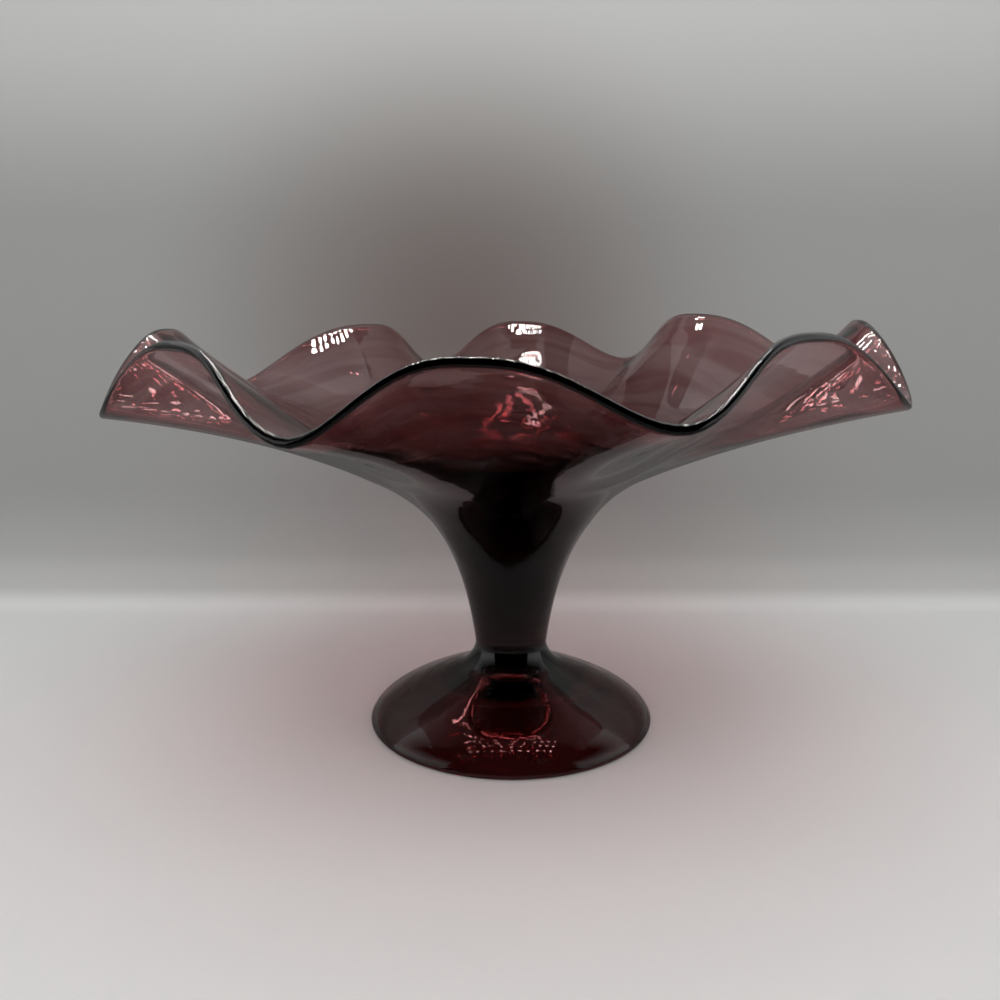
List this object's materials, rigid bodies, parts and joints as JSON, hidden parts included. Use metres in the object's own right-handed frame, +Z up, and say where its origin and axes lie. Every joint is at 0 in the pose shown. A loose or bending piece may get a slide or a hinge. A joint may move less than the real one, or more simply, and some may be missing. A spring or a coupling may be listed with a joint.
{
  "type": "footed compote bowl",
  "caption": "Footed glass bowl with a wide ruffled rim on a solid flared stem, joined by a short collar to a hollow conical foot that stands on a flat ring",
  "frame": {"origin": "centre of the flat ring that the foot stands on, on the stem's axis and about 1.3 mm from the bottom centre of the bounding box, because the ruffles are uneven", "axes": "+Z up along the stem, -Y towards the front of the picture, +X to its right"},
  "size_m": [0.3037, 0.3038, 0.1749],
  "materials": {
    "bowl_glass": "clear amethyst, fire polished",
    "stem_glass": "clear amethyst, nearly black where it is thick",
    "collar_glass": "clear amethyst, nearly black where it is thick",
    "foot_glass": "clear amethyst, wine red, fire polished"
  },
  "bodies": {
    "root": {"bowl": "bowl_glass", "stem": "stem_glass", "collar": "collar_glass", "foot": "foot_glass"}
  },
  "joints": []
}
